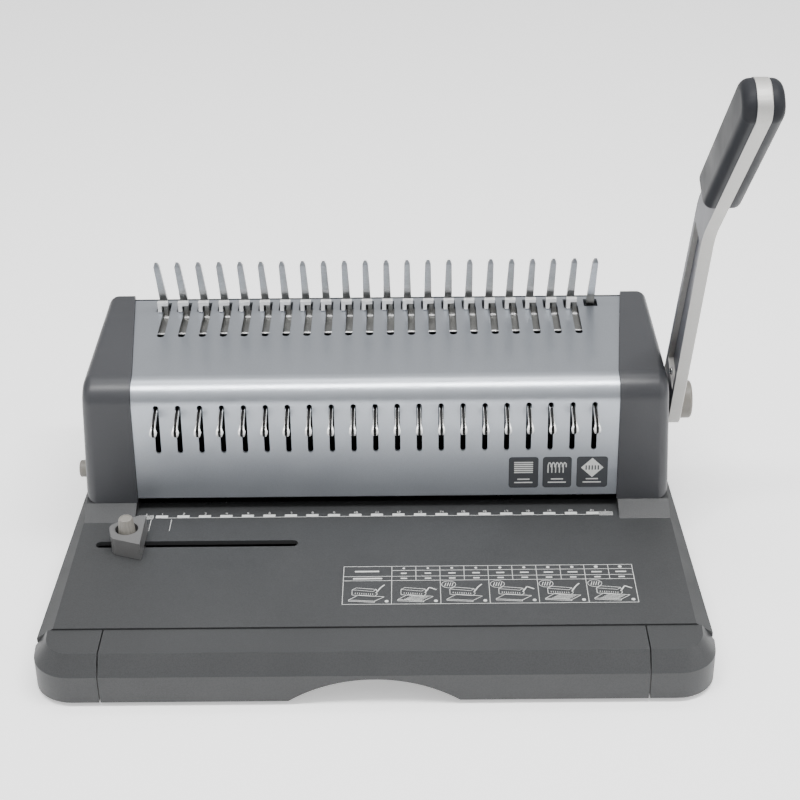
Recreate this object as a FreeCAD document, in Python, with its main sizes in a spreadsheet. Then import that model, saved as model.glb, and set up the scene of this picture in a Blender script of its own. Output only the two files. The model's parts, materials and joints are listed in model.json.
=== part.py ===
"""Comb binding machine: punches 21 slots along a sheet and opens a plastic comb.

Frame: X across the machine, +Y to the rear, +Z up, origin on the floor under the middle of the base.
One handle on the right turns a drive shaft. Small pinions on the shaft drive the punch carrier down,
and larger gears pull the hook slide plate forward.
"""
import FreeCAD, Part
import math
import os
import re
import Sketcher

V = FreeCAD.Vector
doc = FreeCAD.newDocument("comb_binding_machine")

# ---------------------------------------------------------------- driving dimensions, mm and degrees
DIMENSIONS = {
    "pitch": 14.2875,            # standard plastic comb pitch, 9/16 inch
    "slots": 21,                 # punched holes, pull tabs and hooks
    "fingers": 22,               # comb uprights
    "hole_wide": 8.0,            # punched hole along the sheet edge
    "hole_deep": 3.0,
    "slack": 0.05,               # fit of a pin in its hole, each side
    # base
    "shell_half": 203.2,         # under the table; the base narrows towards the rear
    "shell_rear_half": 194.0,
    "block_half": 205.6,         # front corner blocks, at their rear and front ends
    "block_front_half": 203.0,
    "base_front": -154.0,
    "base_rear": 154.0,
    "shell_low": 3.0,
    "shell_floor": 6.0,
    "skirt_low": 24.0,
    "wall": 3.5,
    "corner_round": 25.0,
    "rear_round": 20.0,
    "foot_round": 9.0,
    "table_top": 34.0,
    "table_under": 31.0,
    "table_half": 193.7,
    "cover_half": 204.2,
    "cover_rear_half": 194.9,
    "plinth_front": -8.0,        # low plinths that the end caps stand on
    "plinth_edge": 5.5,
    "plinth_in": 160.0,
    "cap_foot": 40.8,
    "bevel_low": 27.0,
    "table_front": -122.3,
    # chip drawer
    "drawer_half": 163.0,
    "drawer_gap": 0.8,
    "lip_top": 33.0,
    "lip_front": -145.5,
    "chamfer_low": 21.5,
    "drawer_skin": 2.5,
    "notch_round": 91.0,
    "notch_top": 18.7,
    "tray_half": 150.0,
    "tray_front": -125.0,
    "tray_rear": 42.0,
    "tray_low": 6.4,
    "tray_high": 24.0,
    # upper housing
    "panel_lean": 6.0,
    "panel_foot": 43.6,
    "panel_foot_y": 7.0,
    "roof": 124.0,
    "bend_round": 16.0,
    "ridge_y": 141.5,
    "sheet": 1.5,
    "panel_half": 159.0,
    "ridge_half": 172.0,
    "cap_proud": 1.2,
    "cap_skin": 3.0,
    "cap_half": 194.0,
    "cap_draft": 1.9,            # lean of a cap's side wall
    "cap_plan": 0.3,
    "cap_crown": 2.5,            # the caps stand above the sheet at the ridge
    "cap_round": 7.0,
    "bend_cut": 12.0,            # the hollow follows the bend with two flats
    "cap_gap": 0.2,
    "rear_foot_y": 152.5,
    "slot_wide": 3.6,
    "slot_low": 76.0,
    "slot_high": 110.1,
    # top openings and comb fingers
    "channel_wide": 5.0,
    "channel_side": 2.6,         # the stem of each T lies to the right of its upright
    "channel_front": 84.0,
    "window_front": 122.5,
    "window_rear": 136.5,
    "window_wide": 9.6,
    "finger_lean": 29.0,
    "finger_y": 133.6,
    "finger_wide": 5.4,
    "finger_neck": 3.9,
    "finger_thick": 2.8,
    "finger_top": 168.5,
    # punch
    "punch_y": 24.0,
    "die_low": 29.0,
    "die_half": 160.0,
    "throat": 2.6,
    "stripper_high": 43.0,
    "pin_low": 37.6,
    "pin_high": 100.0,
    "carrier_low": 92.0,
    "carrier_high": 110.0,
    "carrier_front": 19.0,
    "carrier_rear": 31.0,
    "carrier_half": 164.0,
    "tab_wide": 2.4,
    "tab_low": 105.4,
    "tab_high": 108.2,
    "bulb_wide": 3.0,
    # frames, shaft, gears
    "frame_in": 168.0,
    "frame_thick": 2.5,
    "shaft_y": 59.0,
    "shaft_z": 86.0,
    "shaft_round": 6.0,
    "module_size": 1.5,
    "pinion_teeth": 16,
    "gear_teeth": 28,
    "pinion_in": 149.0,
    "pinion_wide": 7.0,
    "gear_in": 158.0,
    "gear_wide": 6.0,
    "rod_x": 160.0,
    "rod_y": 23.5,
    "rod_round": 3.0,
    "spring_round": 5.0,
    "plate_low": 118.0,
    "plate_high": 120.0,
    "plate_front": 97.3,
    "hook_front": 121.0,
    "hook_rear": 124.2,
    "hook_top": 131.8,
    # margin stop
    "margin_y": 36.0,
    "margin_z": 49.3,
    "margin_round": 2.5,
    "margin_grip": 5.8,
    # edge guide
    "guide_x": -160.6,
    "guide_y": -33.5,
    "guide_face": -150.0,
    "guide_top": 46.4,
    "seat_level": 39.0,
    "rail_left": -181.6,
    "rail_right": -50.7,
    "rail_wide": 6.9,
    # handle
    "arm_in": 197.0,
    "arm_out": 205.0,
    "arm_lean": 24.0,
    "grip_lean": 45.8,
    "grip_front": 55.8,
    "grip_rear": 83.2,
    "grip_start": 208.0,
    "grip_rear_start": 197.0,
    "grip_end": 338.5,
    "grip_skin": 7.0,
    "pivot_round": 12.8,
}

sizes = doc.addObject("Spreadsheet::Sheet", "Sizes")
for row, (alias, number) in enumerate(DIMENSIONS.items(), start=1):
    sizes.set(f"A{row}", alias)
    sizes.set(f"B{row}", str(number))
    sizes.setAlias(f"B{row}", alias)
doc.recompute()

NODES = []                       # every sub-part, in the order it is made


# ---------------------------------------------------------------- helpers
def linked(expression):
    """The expression with every sheet alias written the way other objects refer to it."""
    return re.sub(r"[a-z][a-z_]*", lambda word: "Sizes." + word[0] if word[0] in DIMENSIONS else word[0],
                  str(expression))


def number(expression):
    """The present value of an expression, in mm or degrees."""
    result = sizes.evalExpression(linked(expression))
    return float(getattr(result, "Value", result))


def keep(obj, name):
    """Register an object as a sub-part."""
    obj.Label = name
    NODES.append(obj)
    return obj


def bind(obj, **expressions):
    for prop, expression in expressions.items():
        obj.setExpression(prop.replace("__", "."), linked(expression))


def origin_feature(body, role):
    return next(item for item in body.Origin.OriginFeatures if item.Role == role)


def new_sketch(body, role, level):
    sketch = body.newObject("Sketcher::SketchObject", "Outline")
    sketch.AttachmentSupport = [(origin_feature(body, role), "")]
    sketch.MapMode = "FlatFace"
    sign = "-1" if role == "XZ_Plane" else "1"
    sketch.setExpression("AttachmentOffset.Base.z", linked(f"{sign} * ({level})"))
    return sketch


def pin_point(sketch, geometry, point, across, along):
    """Fix one point of a sketch at a place given by two expressions."""
    for kind, expression in (("DistanceX", across), ("DistanceY", along)):
        index = sketch.addConstraint(
            Sketcher.Constraint(kind, -1, 1, geometry, point, number(expression)))
        sketch.setExpression(f"Constraints[{index}]", linked(expression))


def draw_polygon(sketch, points):
    """Closed outline through points given as pairs of expressions."""
    corners = [V(number(across), number(along), 0) for across, along in points]
    first = sketch.GeometryCount
    total = len(corners)
    for index in range(total):
        sketch.addGeometry(Part.LineSegment(corners[index], corners[(index + 1) % total]), False)
    for index in range(total):
        following = first + (index + 1) % total
        sketch.addConstraint(Sketcher.Constraint("Coincident", first + index, 2, following, 1))
    for index, (across, along) in enumerate(points):
        pin_point(sketch, first + index, 1, across, along)


def draw_circle(sketch, across, along, radius):
    centre = V(number(across), number(along), 0)
    index = sketch.addGeometry(Part.Circle(centre, V(0, 0, 1), number(radius)), False)
    pin_point(sketch, index, 3, across, along)
    size = sketch.addConstraint(Sketcher.Constraint("Radius", index, number(radius)))
    sketch.setExpression(f"Constraints[{size}]", linked(radius))


def draw_obround(sketch, across, low, high, width):
    """Slot with round ends along the sketch's second axis, low and high being its extreme ends."""
    radius = number(width) / 2
    middle = number(across)
    bottom = number(low) + radius
    top = number(high) - radius
    left = sketch.addGeometry(Part.LineSegment(V(middle - radius, top, 0), V(middle - radius, bottom, 0)), False)
    right = sketch.addGeometry(Part.LineSegment(V(middle + radius, bottom, 0), V(middle + radius, top, 0)), False)
    lower = sketch.addGeometry(Part.ArcOfCircle(
        Part.Circle(V(middle, bottom, 0), V(0, 0, 1), radius), math.pi, 2 * math.pi), False)
    upper = sketch.addGeometry(Part.ArcOfCircle(
        Part.Circle(V(middle, top, 0), V(0, 0, 1), radius), 0, math.pi), False)
    for line, line_end, arc, arc_end in ((left, 2, lower, 1), (right, 1, lower, 2),
                                         (right, 2, upper, 1), (left, 1, upper, 2)):
        sketch.addConstraint(Sketcher.Constraint("Tangent", line, line_end, arc, arc_end))
    pin_point(sketch, lower, 3, across, f"{low} + ({width}) / 2")
    pin_point(sketch, upper, 3, across, f"{high} - ({width}) / 2")
    size = sketch.addConstraint(Sketcher.Constraint("Radius", lower, radius))
    sketch.setExpression(f"Constraints[{size}]", linked(f"({width}) / 2"))


class Piece:
    """A PartDesign body built from pads and pockets given in the machine's own coordinates."""

    def __init__(self, name):
        self.body = doc.addObject("PartDesign::Body", name)
        keep(self.body, name)

    def feature(self, kind, role, start, end, draw, *data):
        sketch = new_sketch(self.body, role, start)
        draw(sketch, *data)
        doc.recompute()
        before = self.body.Shape.Volume if self.body.Tip else 0
        item = self.body.newObject("PartDesign::" + kind, kind)
        item.Profile = sketch
        item.Reversed = (kind == "Pad") == (role == "XZ_Plane")
        item.setExpression("Length", linked(f"({end}) - ({start})"))
        doc.recompute()
        after = self.body.Shape.Volume
        if abs(after - before) < 1e-3:
            raise RuntimeError(f"{self.body.Label}: a {kind} changed nothing")
        return item

    def pad(self, role, start, end, draw, *data):
        return self.feature("Pad", role, start, end, draw, *data)

    def pocket(self, role, start, end, draw, *data):
        return self.feature("Pocket", role, start, end, draw, *data)

    def repeat(self, originals, span, count):
        """Linear pattern along X."""
        pattern = self.body.newObject("PartDesign::LinearPattern", "Row")
        pattern.Originals = originals
        pattern.Direction = (origin_feature(self.body, "X_Axis"), [""])
        pattern.setExpression("Length", linked(span))
        pattern.setExpression("Occurrences", linked(count))
        self.body.Tip = pattern
        doc.recompute()
        return pattern

    def dress(self, kind, size, test, second=None):
        """Fillet or chamfer on the edges that pass the test."""
        base = self.body.Tip
        names = [f"Edge{index}" for index, edge in enumerate(base.Shape.Edges, start=1) if test(edge)]
        if not names:
            raise RuntimeError(f"{self.body.Label}: no edge to dress")
        item = self.body.newObject("PartDesign::" + kind, kind)
        item.Base = (base, names)
        item.setExpression("Radius" if kind == "Fillet" else "Size", linked(size))
        if second:
            item.ChamferType = "Two distances"
            item.setExpression("Size2", linked(second))
        doc.recompute()
        if "Invalid" in item.State or self.body.Shape.isNull():
            raise RuntimeError(f"{self.body.Label}: a {kind} of {size} failed")
        return item


def rectangle(left, front, right, rear):
    return [(left, front), (right, front), (right, rear), (left, rear)]


def tapered(front_half, front, rear_half, rear):
    """Outline of a plate whose sides close in towards the rear."""
    return [(f"-({front_half})", front), (front_half, front), (rear_half, rear), (f"-({rear_half})", rear)]


def span(side, inner, outer):
    """Start and end of an extrusion along X on one side of the machine."""
    return (inner, outer) if side > 0 else (f"-({outer})", f"-({inner})")


def upright(edge):
    return edge.BoundBox.XLength < 0.01 and edge.BoundBox.YLength < 0.01


def lengthwise(edge):
    return edge.BoundBox.ZLength < 0.01 and edge.BoundBox.YLength < 0.01


def near(value, target, reach=0.6):
    return abs(value - number(target)) < reach


def box(name, left, right, front, rear, low, high):
    """Plain block between six coordinates."""
    block = doc.addObject("Part::Box", name)
    bind(block, Length=f"({right}) - ({left})", Width=f"({rear}) - ({front})", Height=f"({high}) - ({low})")
    bind(block, Placement__Base__x=left, Placement__Base__y=front, Placement__Base__z=low)
    return block


def bar(name, axis, place, radius, length):
    """Round bar along X or Z, place being the centre of its lower or left end."""
    rod = doc.addObject("Part::Cylinder", name)
    if axis == "X":
        rod.Placement = FreeCAD.Placement(V(0, 0, 0), FreeCAD.Rotation(V(0, 1, 0), 90))
    bind(rod, Radius=radius, Height=length)
    bind(rod, Placement__Base__x=place[0], Placement__Base__y=place[1], Placement__Base__z=place[2])
    return rod


def cut(name, base, tools):
    """Base with every tool taken away."""
    result = base
    for tool in tools:
        step = doc.addObject("Part::Cut", name)
        step.Base = result
        step.Tool = tool
        result = step
    return result


def fuse(name, shapes):
    result = doc.addObject("Part::MultiFuse", name)
    result.Shapes = shapes
    return result


def group(name, shapes):
    """Identical loose solids kept together in one sub-part."""
    result = doc.addObject("Part::Compound", name)
    result.Links = shapes
    return keep(result, name)


def slot_x(index):
    """Place of one punched hole along X."""
    return f"({index} - (slots - 1) / 2) * pitch"


def finger_x(index):
    """Place of one comb upright along X."""
    return f"({index} - (fingers - 1) / 2) * pitch"


# ---------------------------------------------------------------- base
def base_lower_shell():
    """Tub with two front corner blocks and a bay between them for the chip drawer."""
    shell = Piece("base_lower_shell")
    half = [("block_front_half", "base_front"), ("block_half", "table_front"), ("shell_half", "table_front"),
            ("shell_rear_half", "base_rear")]
    mirrored = [(f"-{across}", along) for across, along in reversed(half)]
    shell.pad("XY_Plane", "shell_low", "lip_top", draw_polygon, half + mirrored)
    shell.dress("Fillet", "corner_round", lambda e: upright(e) and near(e.CenterOfMass.y, "base_front"))
    shell.dress("Chamfer", "lip_top - chamfer_low", lambda e: near(e.CenterOfMass.z, "lip_top")
                and e.CenterOfMass.y < number("table_front") - 5, "lip_front - base_front")
    shell.pocket("XY_Plane", "skirt_low", "table_top", draw_polygon,
                 rectangle("-block_half - 1", "table_front - 0.2", "block_half + 1", "base_rear + 1"))
    shell.pocket("XY_Plane", "shell_floor", "table_top", draw_polygon,
                 tapered("shell_half - wall", "table_front + wall", "shell_rear_half - wall", "base_rear - wall"))
    shell.dress("Fillet", "rear_round - wall",
                lambda e: upright(e) and near(e.CenterOfMass.y, "base_rear - wall"))
    shell.dress("Fillet", "rear_round", lambda e: upright(e) and near(e.CenterOfMass.y, "base_rear"))
    bay = "drawer_half + drawer_gap"
    shell.pocket("XY_Plane", "0", "table_top", draw_polygon,
                 rectangle(f"-({bay})", "base_front - 1", bay, "tray_front - 1"))
    shell.pocket("XY_Plane", "shell_floor", "table_top", draw_polygon,
                 rectangle(f"-({bay})", "tray_front - 2", bay, "0"))
    for side in ("-1", "1"):
        inner = f"{side} * (drawer_half + drawer_gap + wall)"
        outer = f"{side} * (shell_half - 15)"
        shell.pocket("XY_Plane", "0", "lip_top - 3", draw_polygon,
                     rectangle(inner, "base_front + 15", outer, "table_front"))


def base_table_cover():
    """Flat working table with bevelled sides, the guide slot and the seat of the die plate."""
    cover = Piece("base_table_cover")
    cover.pad("XZ_Plane", "table_front", "base_rear", draw_polygon, [
        ("-cover_half", "skirt_low"), ("cover_half", "skirt_low"), ("cover_half", "bevel_low"),
        ("table_half", "table_top"), ("-table_half", "table_top"), ("-cover_half", "bevel_low")])
    for side in ("-1", "1"):
        cover.pocket("XY_Plane", "skirt_low - 1", "table_top + 1", draw_polygon, [
            (f"{side} * cover_half", "table_front"), (f"{side} * cover_rear_half", "base_rear"),
            (f"{side} * cover_rear_half", "base_rear + 1"), (f"{side} * (cover_half + 5)", "base_rear + 1"),
            (f"{side} * (cover_half + 5)", "table_front")])
    cover.dress("Fillet", "rear_round", lambda e: upright(e) and near(e.CenterOfMass.y, "base_rear")
                and abs(e.CenterOfMass.x) > number("table_half"))
    cover.pocket("XY_Plane", "skirt_low - 1", "table_under", draw_polygon,
                 tapered("table_half - 3", "table_front - 1", "shell_rear_half - 5", "base_rear - 5"))
    for side in (-1, 1):
        cover.pad("YZ_Plane", *span(side, "plinth_in", "table_half"), draw_polygon, [
            ("plinth_front", "table_top - 1"), ("plinth_front", "table_top"), ("plinth_edge", "cap_foot - cap_gap"),
            ("14", "cap_foot - cap_gap"), ("14", "table_top - 1")])
        cover.pad("YZ_Plane", *span(side, "frame_in + 17", "table_half - 2"), draw_polygon,
                  rectangle("13", "table_top - 1", "base_rear - 20", "cap_foot - cap_gap"))
    cover.pocket("XY_Plane", "table_under - 1", "table_top + 1", draw_polygon,
                 rectangle("-die_half", "punch_y - 8", "die_half", "punch_y + 8"))
    cover.pocket("XY_Plane", "table_under - 1", "table_top + 1", draw_polygon,
                 rectangle("rail_left", "guide_y - rail_wide / 2", "rail_right", "guide_y + rail_wide / 2"))
    cover.dress("Fillet", "rail_wide / 2 - 0.05",
                lambda e: upright(e) and e.CenterOfMass.y < 0 and e.Length < 4
                and number("rail_left") - 1 < e.CenterOfMass.x < number("rail_right") + 1)
    for x, y in SCREW_SPOTS:
        cover.pocket("XY_Plane", "skirt_low - 1", "table_top + 1", draw_circle, x, y, "2.05")


SCREW_SPOTS = [(f"{side} * 176", y) for side in (-1, 1) for y in ("70", "128")]
FOOT_SPOTS = [(f"{side} * 178", y) for side in (-1, 1) for y in ("base_front + 50", "base_rear - 28")]


def rubber_feet():
    group("rubber_feet", [bar(f"foot_{index}", "Z", (x, y, "0"), "foot_round", "shell_low")
                          for index, (x, y) in enumerate(FOOT_SPOTS)])


def chip_drawer():
    """Drawer front with an arched finger notch, and the tray that hangs behind it."""
    front = Piece("chip_drawer_front")
    front.pad("YZ_Plane", "-drawer_half", "drawer_half", draw_polygon, [
        ("table_front - 0.3", "lip_top"), ("lip_front", "lip_top"), ("base_front", "chamfer_low"),
        ("base_front", "shell_low"), ("base_front + drawer_skin", "shell_low"),
        ("base_front + drawer_skin", "chamfer_low - 1"), ("lip_front + 1", "lip_top - drawer_skin"),
        ("table_front - 0.3", "lip_top - drawer_skin")])
    front.pocket("XZ_Plane", "base_front - 1", "base_front + drawer_skin + 1", draw_circle,
                 "0", "notch_top - notch_round", "notch_round")
    tray = Piece("chip_drawer_tray")
    tray.pad("XY_Plane", "tray_low", "tray_high", draw_polygon,
             rectangle("-tray_half", "tray_front", "tray_half", "tray_rear"))
    tray.pad("XY_Plane", "tray_low", "lip_top - drawer_skin", draw_polygon,
             rectangle("-tray_half", "tray_front", "tray_half", "tray_front + 2"))
    tray.pocket("XY_Plane", "tray_low + 2", "tray_high + 1", draw_polygon,
                rectangle("-tray_half + 2", "tray_front + 2", "tray_half - 2", "tray_rear - 2"))


# ---------------------------------------------------------------- housing
LEAN = "tan(panel_lean * 1 deg)"


def front_y(level, inset="0"):
    """Y of the leaning front panel at one height, moved rearwards by the inset."""
    return f"panel_foot_y + ({level} - panel_foot) * {LEAN} + ({inset})"


def housing_outline(proud, low, rear):
    """Closed outline of an end cap seen from the side, grown outwards by proud."""
    return [(front_y(low, f"-({proud})"), low), (front_y(f"roof + ({proud})", f"-({proud})"), f"roof + ({proud})"),
            (f"ridge_y + 2.5 + ({proud})", f"roof + ({proud}) + cap_crown"), (f"{rear} + ({proud})", low)]


def front_top_cover():
    """Bent steel sheet: leaning front panel with 21 slots and flat top with 21 T-slots and one window."""
    sheet = Piece("front_top_cover")
    skin = "sheet"
    sheet.pad("YZ_Plane", "-ridge_half", "ridge_half", draw_polygon, [
        (front_y("panel_foot"), "panel_foot"), (front_y("roof"), "roof"), ("ridge_y", "roof"),
        ("ridge_y", "roof - 10"), (f"ridge_y - {skin}", "roof - 10"), (f"ridge_y - {skin}", f"roof - {skin}"),
        (front_y(f"roof - {skin}", skin), f"roof - {skin}"), (front_y("panel_foot", skin), "panel_foot")])
    bend_y = number(front_y("roof"))
    sheet.dress("Fillet", "bend_round", lambda e: lengthwise(e) and near(e.CenterOfMass.z, "roof")
                and abs(e.CenterOfMass.y - bend_y) < 1)
    sheet.dress("Fillet", "bend_round - sheet", lambda e: lengthwise(e)
                and near(e.CenterOfMass.z, "roof - sheet") and abs(e.CenterOfMass.y - bend_y) < 4)
    sheet.dress("Fillet", "sheet - 0.2", lambda e: lengthwise(e) and near(e.CenterOfMass.z, "roof", 0.1)
                and near(e.CenterOfMass.y, "ridge_y"))
    for side in ("-1", "1"):
        sheet.pocket("XY_Plane", "0", "roof + 5", draw_polygon, [
            (f"{side} * panel_half", "-20"), (f"{side} * panel_half", "30"),
            (f"{side} * ridge_half", "ridge_y"), (f"{side} * ridge_half", "ridge_y + 5"),
            (f"{side} * (ridge_half + 5)", "ridge_y + 5"), (f"{side} * (ridge_half + 5)", "-20")])
    slot = sheet.pocket("XZ_Plane", "-5", "40", draw_obround, slot_x(0), "slot_low", "slot_high", "slot_wide")
    sheet.repeat([slot], "(slots - 1) * pitch", "slots")
    channel = sheet.pocket("XY_Plane", "roof - 4", "roof + 1", draw_obround,
                           f"{finger_x(0)} + channel_side", "channel_front", "window_front + 5", "channel_wide")
    sheet.repeat([channel], "(slots - 1) * pitch", "slots")
    window = sheet.pocket("XY_Plane", "roof - 4", "roof + 1", draw_polygon, rectangle(
        f"{finger_x(0)} - window_wide / 2", "window_front", f"{finger_x(0)} + window_wide / 2", "window_rear"))
    sheet.repeat([window], "(slots - 1) * pitch", "slots")
    sheet.pocket("XY_Plane", "roof - 4", "roof + 1", draw_polygon, rectangle(
        f"{finger_x(21)} - window_wide / 2", "window_front + 2.7", f"{finger_x(21)} + window_wide / 2", "window_rear"))


def end_cap(name, side):
    """Moulded end cap, hollow inside, open towards the machine's middle."""
    cap = Piece(name)
    inner = "panel_half + cap_gap"
    cap.pad("YZ_Plane", *span(side, inner, f"{inner} + 40"), draw_polygon,
            housing_outline("cap_proud", "cap_foot", "rear_foot_y"))
    slicer = cap.body.newObject("PartDesign::SubtractiveBox", "OuterSlope")
    slicer.AttachmentSupport = [(origin_feature(cap.body, "XY_Plane"), "")]
    slicer.MapMode = "FlatFace"
    slicer.Length = 60
    slicer.Width = 300
    slicer.Height = 200
    turn = FreeCAD.Rotation(side * number("cap_plan"), -side * number("cap_draft"), 0)
    corner = V(side * number("cap_half"), 4, number("table_top"))
    reach = turn.multVec(V(0 if side > 0 else -60, -60, -40))
    slicer.AttachmentOffset = FreeCAD.Placement(corner + reach, turn)
    doc.recompute()
    bend_y = number(front_y("roof"))
    cap.dress("Fillet", "bend_round + cap_proud", lambda e: lengthwise(e) and e.CenterOfMass.z > number("roof")
              and abs(e.CenterOfMass.y - bend_y) < 4)
    cap.dress("Fillet", "cap_round - 1", lambda e: lengthwise(e) and e.CenterOfMass.z > number("roof")
              and e.CenterOfMass.y > number("ridge_y"))
    cap.dress("Fillet", "cap_round", lambda e: abs(e.CenterOfMass.x) > 180
              and e.CenterOfMass.z > number("table_top") + 5)
    foot, bend, ridge, rear_foot = housing_outline("-cap_skin", "cap_foot - 1", "rear_foot_y")
    ceiling = "roof - cap_skin"
    bend_points = [(front_y(f"{ceiling} - bend_cut", "cap_skin"), f"{ceiling} - bend_cut"),
                   (f"{bend[0]} + bend_cut * 0.26", f"{ceiling} - bend_cut * 0.28"),
                   (f"{bend[0]} + bend_cut", ceiling)]
    cap.pocket("YZ_Plane", *span(side, f"{inner} - 1", f"{inner} + 25"), draw_polygon,
               [foot] + bend_points + [ridge, rear_foot])
    cap.pocket("XY_Plane", "0", "roof + 10", draw_polygon, [
        (f"{side} * (panel_half - 1)", "30"), (f"{side} * ({inner})", "30"),
        (f"{side} * (ridge_half + cap_gap)", "ridge_y"), (f"{side} * (ridge_half + cap_gap)", "170"),
        (f"{side} * (panel_half - 1)", "170")])
    wall = span(side, "180", "200")
    if side < 0:
        cap.pocket("YZ_Plane", *wall, draw_circle, "margin_y", "margin_z", "margin_round + 0.4")
    else:
        cap.pocket("YZ_Plane", *wall, draw_circle, "shaft_y", "shaft_z", "shaft_round + 1")


def rear_cover():
    """Moulded back panel between the two end caps."""
    rear = Piece("rear_cover")
    rear.pad("YZ_Plane", "-ridge_half", "ridge_half", draw_polygon, [
        ("ridge_y + 0.1", "roof"), ("ridge_y + 2.5", "roof"), ("rear_foot_y", "table_top"),
        ("rear_foot_y - 2.5", "table_top"), ("ridge_y + 0.1", "roof - 12")])
    rear.dress("Fillet", "2", lambda e: lengthwise(e) and e.CenterOfMass.z > number("roof") - 1
               and near(e.CenterOfMass.y, "ridge_y + 2.5"))


# ---------------------------------------------------------------- frames and comb side
def side_frame(name, side):
    """Steel plate that carries the shaft, with a foot flange screwed to the table."""
    frame = Piece(name)
    plate = ("frame_in", "frame_in + frame_thick") if side > 0 else ("-frame_in - frame_thick", "-frame_in")
    frame.pad("YZ_Plane", *plate, draw_polygon, [
        ("15", "table_top"), ("146", "table_top"), ("140", "112"), ("134", "118"), ("34", "118"), ("19", "100")])
    frame.pad("XY_Plane", "table_top", "table_top + frame_thick", draw_polygon,
              rectangle(f"{side} * frame_in", "60", f"{side} * (frame_in + 13)", "138"))
    frame.pocket("YZ_Plane", f"{plate[0]} - 1", f"{plate[1]} + 1", draw_circle, "shaft_y", "shaft_z", "9")
    frame.pocket("YZ_Plane", f"{plate[0]} - 1", f"{plate[1]} + 1", draw_circle,
                 "margin_y", "margin_z", "margin_round + 0.05")
    for x, y in SCREW_SPOTS:
        if number(x) * side > 0:
            frame.pocket("XY_Plane", "table_top - 1", "table_top + 5", draw_circle, x, y, "2.05")


def comb_uprights():
    """Row of 22 leaning fingers that hold the comb, standing on one bar."""
    comb = Piece("comb_uprights")
    comb.pad("YZ_Plane", "-frame_in", "frame_in", draw_polygon,
             rectangle("134.2", "102", "139.6", "116"))
    slope = "tan(finger_lean * 1 deg)"
    half = "finger_thick / 2 / cos(finger_lean * 1 deg)"

    def edge_y(level, sign):
        return f"finger_y - ({level} - roof) * {slope} + {sign} * {half}"

    left = f"{finger_x(0)} - finger_wide / 2"
    finger = comb.pad("YZ_Plane", left, f"{left} + finger_wide", draw_polygon, [
        (edge_y("115.5", 1), "115.5"), (edge_y("115.5", -1), "115.5"),
        (edge_y("finger_top - 4", -1), "finger_top - 4"),
        (edge_y("finger_top", -0.2), "finger_top"), (edge_y("finger_top - 1", 1), "finger_top - 1")])
    sides = [comb.pocket("XZ_Plane", "90", "139.5", draw_polygon, [
        (f"{finger_x(0)} + {sign} * finger_wide / 2", "roof"),
        (f"{finger_x(0)} + {sign} * finger_neck / 2", "finger_top - 4"),
        (f"{finger_x(0)} + {sign} * 0.6", "finger_top"), (f"{finger_x(0)} + {sign} * 0.6", "finger_top + 2"),
        (f"{finger_x(0)} + {sign} * 4", "finger_top + 2"), (f"{finger_x(0)} + {sign} * 4", "roof")])
        for sign in ("-1", "1")]
    comb.repeat([finger] + sides, "(fingers - 1) * pitch", "fingers")


def hook_slide_plate():
    """Sliding plate under the top with 21 hooks that open the comb, and an arm at each end."""
    plate = Piece("hook_slide_plate")
    arm_in = "gear_in - 2"
    plate_half = "frame_in - 1.5"
    plate.pad("XY_Plane", "plate_low", "plate_high", draw_polygon, [
        (f"-({plate_half})", "53"), (f"-({arm_in})", "53"), (f"-({arm_in})", "plate_front"),
        (arm_in, "plate_front"), (arm_in, "53"), (plate_half, "53"), (plate_half, "132"), (f"-({plate_half})", "132")])
    hook = []
    for left, right, low in (("1", "3.7", "plate_high"), ("-3.2", "3.7", "hook_top - 2.4"),
                             ("-3.2", "-0.9", "roof + 0.5")):
        hook.append(plate.pad("XY_Plane", low, "hook_top", draw_polygon, rectangle(
            f"{finger_x(0)} + {left}", "hook_front", f"{finger_x(0)} + {right}", "hook_rear")))
    plate.repeat(hook, "(slots - 1) * pitch", "slots")


def slide_rails():
    """Two ledges on the side frames that the slide plate runs on."""
    group("slide_rails", [box("left_rail", "-frame_in", "-frame_in + 3", "40", "134", "plate_low - 4", "plate_low - 0.1"),
                          box("right_rail", "frame_in - 3", "frame_in", "40", "134", "plate_low - 4", "plate_low - 0.1")])


# ---------------------------------------------------------------- punch side
def punch_pins():
    """21 flat punches, one for each hole of the sheet."""
    pins = []
    for index in range(int(number("slots"))):
        middle = slot_x(index)
        pins.append(box(f"pin_{index + 1}", f"{middle} - hole_wide / 2", f"{middle} + hole_wide / 2",
                        "punch_y - hole_deep / 2", "punch_y + hole_deep / 2", "pin_low", "pin_high"))
    group("punch_pins", pins)


def hole_row(piece, low, high):
    """Row of rectangular holes for the punches."""
    middle = slot_x(0)
    hole = piece.pocket("XY_Plane", low, high, draw_polygon, rectangle(
        f"{middle} - hole_wide / 2 - slack", "punch_y - hole_deep / 2 - slack",
        f"{middle} + hole_wide / 2 + slack", "punch_y + hole_deep / 2 + slack"))
    piece.repeat([hole], "(slots - 1) * pitch", "slots")


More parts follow.
